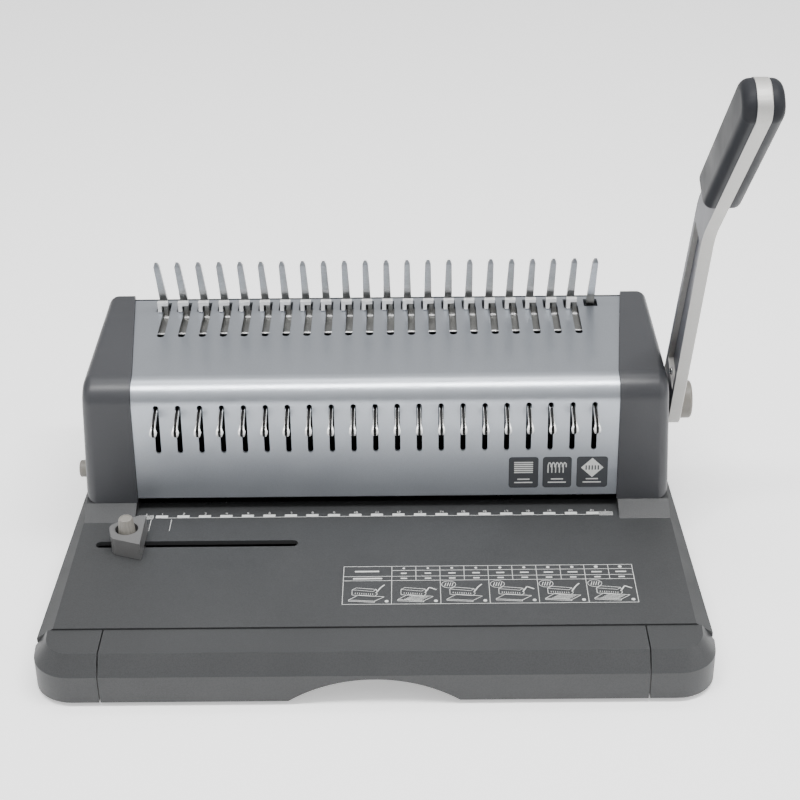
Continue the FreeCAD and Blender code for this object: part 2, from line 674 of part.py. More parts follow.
def punch_carrier():
    """Beam that presses the punches down, with a window over each punch for its pull tab."""
    beam = Piece("punch_carrier")
    beam.pad("XY_Plane", "carrier_low", "carrier_high", draw_polygon,
             rectangle("-carrier_half", "carrier_front", "carrier_half", "carrier_rear"))
    middle = slot_x(0)
    seat = beam.pocket("XY_Plane", "carrier_low - 1", "pin_high", draw_polygon, rectangle(
        f"{middle} - hole_wide / 2", "punch_y - hole_deep / 2",
        f"{middle} + hole_wide / 2", "punch_y + hole_deep / 2"))
    beam.repeat([seat], "(slots - 1) * pitch", "slots")
    window = beam.pocket("XZ_Plane", "carrier_front - 1", "carrier_rear + 1", draw_polygon, rectangle(
        f"{middle} - tab_wide / 2 - slack", "tab_low - slack", f"{middle} + tab_wide / 2 + slack", "tab_high + slack"))
    beam.repeat([window], "(slots - 1) * pitch", "slots")
    for side in ("-1", "1"):
        beam.pocket("XY_Plane", "carrier_low - 1", "carrier_high + 1", draw_circle,
                    f"{side} * rod_x", "rod_y", "rod_round + slack")


def stripper_plate():
    """Guide plate just above the paper throat."""
    plate = Piece("stripper_plate")
    plate.pad("XY_Plane", "table_top + throat", "stripper_high", draw_polygon,
              rectangle("-frame_in", "17", "frame_in", "26.7"))
    hole_row(plate, "table_top", "stripper_high + 1")


def die_plate():
    """Hardened plate let into the table, its holes matching the punches."""
    plate = Piece("die_plate")
    plate.pad("XY_Plane", "die_low", "table_top", draw_polygon,
              rectangle("-die_half", "punch_y - 8", "die_half", "punch_y + 8"))
    hole_row(plate, "die_low - 1", "table_top + 1")


def guide_rods():
    group("guide_rods", [bar(f"rod_{side}", "Z", (f"{side} * rod_x", "rod_y", "stripper_high"),
                             "rod_round", "116 - stripper_high") for side in (-1, 1)])


def return_springs():
    """Outer form of the coil spring round each guide rod, between the guide plate and the carrier."""
    coils = []
    for side in (-1, 1):
        place = (f"{side} * rod_x", "rod_y", "stripper_high")
        coil = bar(f"coil_{side}", "Z", place, "spring_round", "carrier_low - stripper_high")
        bore = bar(f"coil_bore_{side}", "Z", place, "spring_round - 1.4", "carrier_low - stripper_high")
        coils.append(cut(f"spring_{side}", coil, [bore]))
    group("return_springs", coils)


def pull_tab(index):
    """Bent strip that comes out of one front slot; pulled out, it leaves its punch idle."""
    tab = Piece(f"pull_tab_{index + 1:02d}")
    middle = slot_x(index)
    left = f"{middle} - tab_wide / 2"
    tab.pad("YZ_Plane", left, f"{left} + tab_wide", draw_polygon, [
        ("31", "tab_low"), ("31", "tab_high"), ("12", "tab_high"), ("-1", "104.2"), ("-1", "101.2"),
        ("12", "tab_low")])
    left = f"{middle} - bulb_wide / 2"
    tab.pad("YZ_Plane", left, f"{left} + bulb_wide", draw_polygon, [
        ("-0.4", "104.2"), ("-3.2", "103"), ("-5", "101"), ("-5.5", "98.9"), ("-4.6", "97.2"),
        ("-2.8", "96.6"), ("-1.6", "98"), ("-0.4", "100.9")])
    tab.dress("Fillet", "1.2", lambda e: lengthwise(e) and e.CenterOfMass.y < -2.5 and e.CenterOfMass.z < 102)


# ---------------------------------------------------------------- drive
def involute_point(base_radius, radius, offset):
    """Point of an involute flank at one radius, turned by an angle."""
    roll = math.sqrt(max((radius / base_radius) ** 2 - 1, 0))
    angle = offset + roll - math.atan(roll)
    return radius, angle


def gear_solid(teeth, width, bore, backlash=0.32):
    """Spur gear about X with a tooth space facing -Y and another facing +Z."""
    module_size = number("module_size")
    pitch_radius = module_size * teeth / 2
    base_radius = pitch_radius * math.cos(math.radians(20))
    root = pitch_radius - 1.25 * module_size
    tip = pitch_radius + module_size
    tooth_angle = (math.pi * module_size / 2 - backlash) / pitch_radius
    lead = involute_point(base_radius, pitch_radius, 0)[1]
    radii = [max(base_radius, root) + (tip - max(base_radius, root)) * step / 4 for step in range(5)]
    corners = []
    for tooth in range(teeth):
        centre = 2 * math.pi * (tooth + 0.5) / teeth
        rising = [(root, centre - tooth_angle / 2 - lead)]
        rising += [involute_point(base_radius, radius, centre - tooth_angle / 2 - lead) for radius in radii]
        falling = [(radius, 2 * centre - angle) for radius, angle in reversed(rising)]
        corners += rising + falling
    points = [V(0, radius * math.cos(angle), radius * math.sin(angle)) for radius, angle in corners]
    face = Part.Face(Part.makePolygon(points + points[:1]))
    hole = Part.Face(Part.Wire([Part.Circle(V(0, 0, 0), V(1, 0, 0), bore).toShape()]))
    return face.cut(hole).extrude(V(width, 0, 0))


def rack_solid(teeth, width, depth, backlash=0.32):
    """Rack along +Y with teeth pointing to -Z from the pitch line; a tooth sits at the origin."""
    module_size = number("module_size")
    step = math.pi * module_size
    slope = math.tan(math.radians(20))
    half_pitch = (step / 2 - backlash) / 2
    half_tip = half_pitch - module_size * slope
    half_root = half_pitch + 1.25 * module_size * slope
    tip = -module_size
    root = 1.25 * module_size
    points = []
    for tooth in teeth:
        centre = tooth * step
        points += [V(0, centre - half_root, root), V(0, centre - half_tip, tip),
                   V(0, centre + half_tip, tip), V(0, centre + half_root, root)]
    points += [V(0, points[-1].y + 0.4, root), V(0, points[-1].y + 0.4, depth),
               V(0, points[0].y - 0.4, depth), V(0, points[0].y - 0.4, root)]
    return Part.Face(Part.makePolygon(points + points[:1])).extrude(V(width, 0, 0))


def toothed_pair(name, make, width, inner):
    """The same toothed solid on the left and right of the machine."""
    shapes = []
    for left in (-inner - width, inner):
        shape = make()
        shape.translate(V(left, 0, 0))
        shapes.append(shape)
    pair = doc.addObject("Part::Feature", name)
    pair.Shape = Part.makeCompound(shapes)
    return keep(pair, name)


def gears():
    shaft = V(0, number("shaft_y"), number("shaft_z"))
    for name, teeth, width, inner in (("punch_pinions", "pinion_teeth", "pinion_wide", "pinion_in"),
                                      ("hook_gears", "gear_teeth", "gear_wide", "gear_in")):
        wide = number(width)
        pair = toothed_pair(name, lambda: gear_solid(int(number(teeth)), wide, number("shaft_round")),
                            wide, number(inner))
        pair.Placement = FreeCAD.Placement(shaft, FreeCAD.Rotation())


def racks():
    """Vertical racks behind the punch carrier, and level racks under the slide plate."""
    module_size = number("module_size")
    level = number("shaft_z") + module_size * number("gear_teeth") / 2
    thick = number("plate_low") - level
    hook = toothed_pair("hook_racks", lambda: rack_solid(range(-1, 8), number("gear_wide"), thick),
                        number("gear_wide"), number("gear_in"))
    hook.Placement = FreeCAD.Placement(V(0, number("shaft_y"), level), FreeCAD.Rotation())
    line = number("shaft_y") - module_size * number("pinion_teeth") / 2
    reach = line - number("carrier_rear")
    punch = toothed_pair("punch_racks", lambda: rack_solid(range(-1, 5), number("pinion_wide"), reach),
                         number("pinion_wide"), number("pinion_in"))
    punch.Placement = FreeCAD.Placement(V(0, line, number("shaft_z")), FreeCAD.Rotation(V(1, 0, 0), 90))


def drive_shaft():
    shaft = bar("drive_shaft", "X", ("-176", "shaft_y", "shaft_z"), "shaft_round", "176 + arm_out")
    keep(shaft, "drive_shaft")


def shaft_bushes():
    """Plain bearing in each side frame."""
    rings = []
    for side, left in (("left", "-frame_in - frame_thick - 1"), ("right", "frame_in - 1")):
        ring = bar(f"{side}_ring", "X", (left, "shaft_y", "shaft_z"), "9", "frame_thick + 2")
        bore = bar(f"{side}_bore", "X", (f"{left} - 1", "shaft_y", "shaft_z"), "shaft_round + slack", "frame_thick + 4")
        rings.append(cut(f"{side}_bush", ring, [bore]))
    group("shaft_bushes", rings)


# ---------------------------------------------------------------- handle
def arm_point(along, aside, lean):
    """Place at a distance along a line leaning forward from the pivot and aside from it."""
    return (f"shaft_y - ({along}) * sin({lean} * 1 deg) + ({aside}) * cos({lean} * 1 deg)",
            f"shaft_z + ({along}) * cos({lean} * 1 deg) + ({aside}) * sin({lean} * 1 deg)")


def handle_arm():
    """Cast arm: round pivot end, straight shank with a recessed inner face, and the grip's core."""
    arm = Piece("handle_arm")
    outline = [arm_point("-18.5", "-14.5", "arm_lean"), arm_point("175", "-9.5", "arm_lean"),
               arm_point("grip_end", "grip_front", "grip_lean"), arm_point("grip_end", "grip_rear", "grip_lean"),
               arm_point("178", "18.5", "arm_lean"), arm_point("10", "24.3", "arm_lean"),
               arm_point("-18.5", "22", "arm_lean")]
    arm.pad("YZ_Plane", "arm_in", "arm_out", draw_polygon, outline)

    def corner(index, reach=2):
        y, z = (number(item) for item in outline[index])
        return lambda e: (e.BoundBox.XLength > 5 and abs(e.CenterOfMass.y - y) < reach
                          and abs(e.CenterOfMass.z - z) < reach)

    for index, radius in ((1, "60"), (4, "50"), (0, "16"), (6, "17"), (2, "9"), (3, "16")):
        arm.dress("Fillet", radius, corner(index))
    arm.pocket("YZ_Plane", "arm_in - 1", "arm_in + 3.5", draw_polygon, [
        arm_point("22", "-8.5", "arm_lean"), arm_point("166", "-6", "arm_lean"),
        arm_point("162", "14.5", "arm_lean"), arm_point("22", "19", "arm_lean")])
    arm.dress("Fillet", "0.8", lambda e: near(e.CenterOfMass.x, "arm_out", 0.01) and e.Length > 20)
    arm.pocket("YZ_Plane", "arm_in - 1", "arm_out + 1", draw_circle, "shaft_y", "shaft_z", "shaft_round")


def grip_cover(name, inner, outer):
    """Moulded half of the grip, rounded all round its outside."""
    cover = Piece(name)
    outline = [arm_point("grip_start", "grip_front + 0.4", "grip_lean"),
               arm_point("grip_end - 0.4", "grip_front + 0.4", "grip_lean"),
               arm_point("grip_end - 0.4", "grip_rear - 0.4", "grip_lean"),
               arm_point("grip_rear_start", "grip_rear - 0.4", "grip_lean")]
    cover.pad("YZ_Plane", inner, outer, draw_polygon, outline)
    for (y, z), radius in zip(outline, ("8", "9", "15.8", "6")):
        cover.dress("Fillet", radius, lambda e: e.BoundBox.XLength > 5
                    and math.hypot(e.CenterOfMass.y - number(y), e.CenterOfMass.z - number(z)) < 2)
    outer_face = inner if name.startswith("grip_inner") else outer
    cover.dress("Fillet", "5.5", lambda e: near(e.CenterOfMass.x, outer_face, 0.01))


def handle_fittings():
    """Spacer between cap and arm, and the round cap over the pivot."""
    ring = bar("spacer_blank", "X", ("arm_in - 3.8", "shaft_y", "shaft_z"), "10", "3.8")
    bore = bar("spacer_bore", "X", ("arm_in - 5", "shaft_y", "shaft_z"), "shaft_round", "6")
    keep(cut("handle_spacer", ring, [bore]), "handle_spacer")
    pivot = Piece("handle_pivot_cap")
    pivot.pad("YZ_Plane", "arm_out", "arm_out + 7.6", draw_circle, "shaft_y", "shaft_z", "pivot_round")
    pivot.dress("Fillet", "2", lambda e: near(e.CenterOfMass.x, "arm_out + 7.6", 0.01))


# ---------------------------------------------------------------- edge guide and margin stop
def edge_guide():
    """Paper fence that slides along the table slot, its right face square to the sheet edge."""
    guide = Piece("edge_guide")
    base = "table_top + 0.3"
    guide.pad("XY_Plane", base, "guide_top", draw_polygon, [
        ("guide_face - 19", "guide_y - 11"), ("guide_face", "guide_y - 18"), ("guide_face", "guide_y + 15"),
        ("guide_face - 5", "guide_y + 15"), ("guide_face - 12", "guide_y + 11"),
        ("guide_face - 22.8", "guide_y + 4")])
    guide.dress("Fillet", "6", lambda e: upright(e) and e.CenterOfMass.x < number("guide_face") - 18)
    guide.pocket("XY_Plane", "seat_level - 0.3", "guide_top + 1", draw_circle, "guide_x", "guide_y", "7.4")
    guide.pad("XY_Plane", "table_under - 1", f"{base} + 1", draw_polygon, rectangle(
        "guide_x - 9", "guide_y - rail_wide / 2 + 0.3", "guide_x + 9", "guide_y + rail_wide / 2 - 0.3"))
    guide.pocket("XY_Plane", "table_under - 2", "seat_level + 1", draw_circle, "guide_x", "guide_y", "2.05")


def guide_knob():
    """Tapered clamping knob with its screw."""
    cone = doc.addObject("Part::Cone", "knob_cone")
    bind(cone, Radius1="6.4", Radius2="4.9", Height="16")
    bind(cone, Placement__Base__x="guide_x", Placement__Base__y="guide_y", Placement__Base__z="seat_level")
    cone.recompute()
    flutes = [bar(f"flute_{index}", "Z", (f"guide_x + 7.4 * cos({index * 45} deg)",
                                          f"guide_y + 7.4 * sin({index * 45} deg)", "seat_level - 1"),
                  "1.9", "18") for index in range(8)]
    body = cut("knob_body", cone, flutes)
    screw = bar("knob_screw", "Z", ("guide_x", "guide_y", "table_under - 4"), "2", "seat_level + 5 - table_under")
    keep(fuse("guide_knob", [body, screw]), "guide_knob")


def guide_clamp_plate():
    plate = box("clamp_blank", "guide_x - 10", "guide_x + 10", "guide_y - 8", "guide_y + 8",
                "table_under - 3", "table_under - 1")
    bore = bar("clamp_bore", "Z", ("guide_x", "guide_y", "table_under - 5"), "2.05", "6")
    keep(cut("guide_clamp_plate", plate, [bore]), "guide_clamp_plate")


def margin_stop():
    """Knob on the left cap, its shaft, and the hinged stop that sets the hole margin."""
    knob = Piece("margin_knob")
    knob.pad("YZ_Plane", "-201.5", "-195.5", draw_circle, "margin_y", "margin_z", "margin_grip")
    knob.dress("Fillet", "1.2", lambda e: near(e.CenterOfMass.x, "-201.5", 0.01))
    shaft = bar("margin_shaft", "X", ("-195.5", "margin_y", "margin_z"), "margin_round", "195.5 + 172")
    keep(shaft, "margin_shaft")
    flap = Piece("paper_stop_flap")
    flap.pad("YZ_Plane", "-148", "148", draw_polygon, [
        ("28.6", "35.4"), ("30.4", "35.4"), ("30.4", "43.5"), ("margin_y", "45"), ("40.2", "47"), ("40.2", "52"),
        ("margin_y", "53.5"), ("28.6", "46.5")])
    flap.pocket("YZ_Plane", "-149", "149", draw_circle, "margin_y", "margin_z", "margin_round")


# ---------------------------------------------------------------- screws
def screws():
    """Pan-head screws holding the side frames to the table, and the base screws from below."""
    frame_screws = []
    for index, (x, y) in enumerate(SCREW_SPOTS):
        head = bar(f"frame_head_{index}", "Z", (x, y, "table_top + frame_thick"), "3.8", "2.2")
        shank = bar(f"frame_shank_{index}", "Z", (x, y, "table_under - 1"), "2", "5 + frame_thick")
        frame_screws.append(fuse(f"frame_screw_{index}", [head, shank]))
    group("frame_screws", frame_screws)


base_lower_shell()
base_table_cover()
rubber_feet()
chip_drawer()
front_top_cover()
end_cap("left_end_cap", -1)
end_cap("right_end_cap", 1)
rear_cover()
side_frame("left_side_frame", -1)
side_frame("right_side_frame", 1)
comb_uprights()
hook_slide_plate()
slide_rails()
punch_pins()
punch_carrier()
stripper_plate()
die_plate()
guide_rods()
return_springs()
for tab_index in range(int(number("slots"))):
    pull_tab(tab_index)
gears()
racks()
drive_shaft()
shaft_bushes()
handle_arm()
grip_cover("grip_inner_cover", "arm_in - grip_skin", "arm_in")
grip_cover("grip_outer_cover", "arm_out", "arm_out + grip_skin")
handle_fittings()
edge_guide()
guide_knob()
guide_clamp_plate()
margin_stop()
screws()
doc.recompute()

# ---------------------------------------------------------------- checks and files
for item in doc.Objects:
    if "Invalid" in item.State or "Error" in item.State:
        raise RuntimeError(f"{item.Label} failed: {item.State}")
os.makedirs("parts", exist_ok=True)
for node in NODES:
    if node.Shape.isNull() or not node.Shape.isValid():
        raise RuntimeError(f"{node.Label} has no valid shape")
    node.Shape.exportStep(f"parts/{node.Label}.step")
print(len(NODES), "sub-parts written")
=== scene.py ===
"""Looks of the comb binding machine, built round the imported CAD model. Lengths are in metres."""
import json
import math

import bmesh
import bpy
from mathutils import Matrix, Vector


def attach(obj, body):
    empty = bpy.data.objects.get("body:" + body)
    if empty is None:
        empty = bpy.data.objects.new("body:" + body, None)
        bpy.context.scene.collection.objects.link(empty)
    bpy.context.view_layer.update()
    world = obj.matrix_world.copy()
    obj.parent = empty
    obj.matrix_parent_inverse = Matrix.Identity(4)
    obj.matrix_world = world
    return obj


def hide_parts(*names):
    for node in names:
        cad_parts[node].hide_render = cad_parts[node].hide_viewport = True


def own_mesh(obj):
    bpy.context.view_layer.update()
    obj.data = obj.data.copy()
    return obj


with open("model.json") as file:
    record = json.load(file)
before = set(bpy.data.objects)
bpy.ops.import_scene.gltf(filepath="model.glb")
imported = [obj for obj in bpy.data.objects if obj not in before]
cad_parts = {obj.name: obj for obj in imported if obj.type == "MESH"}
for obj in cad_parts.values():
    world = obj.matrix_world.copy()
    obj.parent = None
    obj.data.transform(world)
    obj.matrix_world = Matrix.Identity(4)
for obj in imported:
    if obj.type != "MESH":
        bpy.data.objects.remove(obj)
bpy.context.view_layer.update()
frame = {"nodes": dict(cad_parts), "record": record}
nodes = frame["nodes"]
MM = 0.001
PITCH = 14.2875                  # mm between punched holes
SLOTS = 21
FINGERS = 22
# sockets of a Mix node set to colours
MIX_FIRST = 6
MIX_SECOND = 7
MIX_RESULT = 2


# ---------------------------------------------------------------- material helpers
def srgb(red, green, blue):
    """Linear colour of an 8-bit screen colour."""
    def channel(value):
        value /= 255
        return value / 12.92 if value <= 0.04045 else ((value + 0.055) / 1.055) ** 2.4
    return channel(red), channel(green), channel(blue), 1.0


def shifted(color, factor):
    """The same colour, lighter or darker."""
    return tuple(min(1.0, part * factor) for part in color[:3]) + (1.0,)


class Surface:
    """A principled material with procedural colour, roughness and bump."""

    def __init__(self, name, color, roughness, metallic=0.0):
        self.material = bpy.data.materials.new(name)
        self.material.use_nodes = True
        self.tree = self.material.node_tree
        self.shader = self.tree.nodes["Principled BSDF"]
        self.shader.inputs["Base Color"].default_value = color
        self.shader.inputs["Roughness"].default_value = roughness
        self.shader.inputs["Metallic"].default_value = metallic
        self.coords = self.tree.nodes.new("ShaderNodeTexCoord").outputs["Object"]
        self.normal = None

    def link(self, source, target):
        self.tree.links.new(source, target)

    def noise(self, scale, detail=2.0, stretch=(1, 1, 1)):
        mapping = self.tree.nodes.new("ShaderNodeMapping")
        mapping.inputs["Scale"].default_value = stretch
        self.link(self.coords, mapping.inputs["Vector"])
        node = self.tree.nodes.new("ShaderNodeTexNoise")
        node.inputs["Scale"].default_value = scale
        node.inputs["Detail"].default_value = detail
        self.link(mapping.outputs["Vector"], node.inputs["Vector"])
        return node.outputs["Fac"]

    def ramp(self, source, low, high, start=0.35, end=0.65):
        node = self.tree.nodes.new("ShaderNodeValToRGB")
        node.color_ramp.elements[0].position = start
        node.color_ramp.elements[0].color = low
        node.color_ramp.elements[1].position = end
        node.color_ramp.elements[1].color = high
        self.link(source, node.inputs["Fac"])
        return node.outputs["Color"]

    def mix(self, factor, first, second, blend="MIX"):
        node = self.tree.nodes.new("ShaderNodeMix")
        node.data_type = "RGBA"
        node.blend_type = blend
        if isinstance(factor, (int, float)):
            node.inputs["Factor"].default_value = factor
        else:
            self.link(factor, node.inputs["Factor"])
        for socket, value in ((node.inputs[MIX_FIRST], first), (node.inputs[MIX_SECOND], second)):
            if isinstance(value, tuple):
                socket.default_value = value
            else:
                self.link(value, socket)
        return node.outputs[MIX_RESULT]

    def vary_color(self, color, spread, scale, speckle_scale, speckle):
        """Broad cloudy variation with a fine speckle over it."""
        darker = shifted(color, 1 - spread)
        lighter = shifted(color, 1 + spread)
        broad = self.ramp(self.noise(scale, 3), darker, lighter, 0.3, 0.7)
        speck = shifted((1, 1, 1), 1 - speckle)
        fine = self.ramp(self.noise(speckle_scale, 1), speck, (1, 1, 1, 1), 0.35, 0.6)
        self.link(self.mix(1.0, broad, fine, "MULTIPLY"), self.shader.inputs["Base Color"])

    def vary_roughness(self, low, high, scale, stretch=(1, 1, 1)):
        node = self.tree.nodes.new("ShaderNodeMapRange")
        node.inputs["From Min"].default_value = 0.3
        node.inputs["From Max"].default_value = 0.7
        node.inputs["To Min"].default_value = low
        node.inputs["To Max"].default_value = high
        self.link(self.noise(scale, 3, stretch), node.inputs["Value"])
        self.link(node.outputs["Result"], self.shader.inputs["Roughness"])

    def bump(self, scale, height, detail=1.0, stretch=(1, 1, 1)):
        """One more layer of bump, height in metres."""
        node = self.tree.nodes.new("ShaderNodeBump")
        node.inputs["Strength"].default_value = 1.0
        node.inputs["Distance"].default_value = height
        self.link(self.noise(scale, detail, stretch), node.inputs["Height"])
        if self.normal:
            self.link(self.normal, node.inputs["Normal"])
        self.normal = node.outputs["Normal"]
        self.link(self.normal, self.shader.inputs["Normal"])


def moulded(name, color, roughness, grain=900, height=0.00004, speckle=0.12, spread=0.05, gloss=0.35):
    """Injection-moulded plastic with spark-eroded grain."""
    surface = Surface(name, color, roughness)
    surface.vary_color(color, spread, 14, 1400, speckle)
    surface.vary_roughness(roughness - 0.05, roughness + 0.07, 30)
    surface.bump(grain, height)
    surface.shader.inputs["Specular IOR Level"].default_value = gloss
    return surface.material


def metallic_paint(name, color, roughness, metallic, flake=0.1):
    """Sprayed metallic paint on sheet metal: fine flakes and a slight orange peel."""
    surface = Surface(name, color, roughness, metallic)
    surface.vary_color(color, 0.02, 9, 2600, flake)
    surface.vary_roughness(roughness - 0.02, roughness + 0.03, 60)
    surface.bump(260, 0.000006, 2.0)
    surface.bump(2200, 0.000006)
    return surface.material


def paint_inner_shade(material, dark):
    """Painted shade: the arm's faces that turn towards the machine (towards -x) get a darker, duller colour
    with less metal, standing in for the shade they fall in.
    """
    tree = material.node_tree
    shader = tree.nodes["Principled BSDF"]
    normal = tree.nodes.new("ShaderNodeTexCoord").outputs["Normal"]
    split = tree.nodes.new("ShaderNodeSeparateXYZ")
    tree.links.new(normal, split.inputs["Vector"])
    share = tree.nodes.new("ShaderNodeMapRange")
    share.inputs["From Min"].default_value = -0.8
    share.inputs["From Max"].default_value = -0.3
    tree.links.new(split.outputs["X"], share.inputs["Value"])
    blend = tree.nodes.new("ShaderNodeMix")
    blend.data_type = "RGBA"
    blend.inputs[MIX_FIRST].default_value = dark
    tree.links.new(share.outputs["Result"], blend.inputs["Factor"])
    tree.links.new(shader.inputs["Base Color"].links[0].from_socket, blend.inputs[MIX_SECOND])
    tree.links.new(blend.outputs[MIX_RESULT], shader.inputs["Base Color"])
    metal = tree.nodes.new("ShaderNodeMath")
    metal.operation = "MULTIPLY"
    metal.inputs[1].default_value = shader.inputs["Metallic"].default_value
    tree.links.new(share.outputs["Result"], metal.inputs[0])
    tree.links.new(metal.outputs["Value"], shader.inputs["Metallic"])
    return material


def brushed(name, color, roughness, stretch=(1, 1, 30), height=0.000006):
    """Plain or plated steel with drawing lines."""
    surface = Surface(name, color, roughness, 1.0)
    surface.vary_color(color, 0.10, 40, 700, 0.1)
    surface.vary_roughness(roughness - 0.06, roughness + 0.10, 120, stretch)
    surface.bump(320, height, 2.0, stretch)
    return surface.material


def polished(name, color, roughness):
    """Bright plating with faint handling marks."""
    surface = Surface(name, color, roughness, 1.0)
    surface.vary_color(color, 0.03, 60, 900, 0.04)
    surface.vary_roughness(roughness * 0.6, roughness * 1.8, 90)
    surface.bump(500, 0.000003)
    return surface.material


def rubbery(name, color):
    """Dull moulded rubber."""
    surface = Surface(name, color, 0.8)
    surface.vary_color(color, 0.15, 60, 900, 0.2)
    surface.bump(1200, 0.00006)
    return surface.material


def printed(name, color):
    """Screen-printed ink."""
    surface = Surface(name, color, 0.55)
    surface.vary_color(color, 0.04, 200, 2500, 0.08)
    surface.bump(2500, 0.000004)
    return surface.material


MATERIALS = {
    "base_plastic": moulded("base_plastic", srgb(56, 57, 58), 0.46, speckle=0.18, gloss=0.4),
    "cap_plastic": moulded("cap_plastic", srgb(56, 57, 60), 0.36, speckle=0.06, gloss=0.4),
    "silver_paint": metallic_paint("silver_paint", srgb(180, 185, 192), 0.30, 0.85),
    # the arm's faces towards the machine carry painted shade
    "arm_paint": paint_inner_shade(metallic_paint("arm_paint", srgb(178, 177, 174), 0.45, 0.4),
                               srgb(84, 85, 92)),
    "grip_plastic": moulded("grip_plastic", srgb(42, 43, 46), 0.40, grain=500, height=0.00001,
                            speckle=0.04, gloss=0.07),
    "guide_plastic": moulded("guide_plastic", srgb(100, 100, 100), 0.34, speckle=0.06),
    "knob_plastic": moulded("knob_plastic", srgb(128, 125, 119), 0.42, speckle=0.06),
    "chrome_tab": polished("chrome_tab", (0.80, 0.80, 0.80, 1), 0.12),
    "bright_steel": polished("bright_steel", (0.85, 0.85, 0.85, 1), 0.16),
    "finger_steel": brushed("finger_steel", (0.27, 0.275, 0.28, 1), 0.36),
    "zinc_steel": brushed("zinc_steel", (0.50, 0.50, 0.50, 1), 0.35, (30, 1, 1)),
    "tool_steel": brushed("tool_steel", (0.33, 0.33, 0.34, 1), 0.30),
    "inner_plastic": moulded("inner_plastic", srgb(48, 48, 48), 0.6),
    "rubber": rubbery("rubber", srgb(40, 40, 40)),
}
INK_WHITE = printed("ink_white", srgb(205, 206, 204))
INK_DARK = printed("ink_dark", srgb(52, 54, 58))
# near-black steel painted into the tabs' grooves and bulb eyes as shade
TAB_SHADE = brushed("tab_shade", (0.03, 0.03, 0.03, 1), 0.5)
# near-white, barely metallic coat as painted highlight: on the hooks' lit faces, the tab bulbs and the
# slide plate's front edge
HIGHLIGHT_COAT = metallic_paint("painted_highlight_coat", (0.93, 0.93, 0.93, 1), 0.3, 0.25, 0.04)
SLIDE_STEEL = brushed("slide_steel", (0.32, 0.32, 0.31, 1), 0.4)
BLACK_STEEL = brushed("black_steel", (0.025, 0.025, 0.025, 1), 0.55)

# nodes that look unlike the rest of their slot
OWN_MATERIALS = {
    "hook_slide_plate": SLIDE_STEEL,
    "punch_carrier": BLACK_STEEL,
    "punch_pins": BLACK_STEEL,
    "punch_racks": BLACK_STEEL,
    "stripper_plate": BLACK_STEEL,
}

# width in mm of the rounding on each node's sharp edges
BEVELS = {
    "base_table_cover": 0.4,
    "chip_drawer_front": 0.4,
    "base_lower_shell": 0.5,
    "hook_slide_plate": 0.35,
    "comb_uprights": 0.3,
    "edge_guide": 0.6,
    "front_top_cover": 0.15,
    "handle_arm": 0.5,
    "rear_cover": 0.4,
}
BEVEL_ANGLE = math.radians(35)


def dress_frame():
    """Give each CAD node the material of its slot, and soften the sharp edges that show."""
    slots = {entry["node"]: entry["material_slot"] for entry in frame["record"]["subparts"]}
    for name, obj in nodes.items():
        material = OWN_MATERIALS.get(name, MATERIALS[slots[name]])
        if not obj.material_slots:
            obj.data.materials.append(material)
        for index in range(len(obj.material_slots)):
            obj.material_slots[index].material = material
    for name, width in BEVELS.items():
        bevel = nodes[name].modifiers.new("edge", "BEVEL")
        bevel.width = width * MM
        bevel.segments = 2
        bevel.limit_method = "ANGLE"
        bevel.angle_limit = BEVEL_ANGLE


# ---------------------------------------------------------------- mesh helpers
def add_mesh(name, vertices, faces, materials, body, indices=None, smooth=False):
    """A mesh piece riding on a CAD body, lengths in mm."""
    mesh = bpy.data.meshes.new(name)
    mesh.from_pydata([Vector(vertex) * MM for vertex in vertices], [], faces)
    for material in materials:
        mesh.materials.append(material)
    if indices:
        mesh.polygons.foreach_set("material_index", indices)
    mesh.polygons.foreach_set("use_smooth", [smooth] * len(mesh.polygons))
    mesh.update()
    return place_mesh(name, mesh, body)


def place_mesh(name, mesh, body, offset=(0, 0, 0)):
    """An object for a mesh, moved by an offset in mm and riding on a CAD body."""
    obj = bpy.data.objects.new(name, mesh)
    obj.location = Vector(offset) * MM
    bpy.context.scene.collection.objects.link(obj)
    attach(obj, body)
    return obj


def stitched(rows, around, first=0):
    """Faces of a closed tube whose vertices run round each row in turn, capped at both ends."""
    faces = []
    for row in range(rows - 1):
        low = first + row * around
        for step in range(around):
            after = (step + 1) % around
            faces.append([low + step, low + after, low + around + after, low + around + step])
    faces.append([first + step for step in reversed(range(around))])
    faces.append([first + (rows - 1) * around + step for step in range(around)])
    return faces


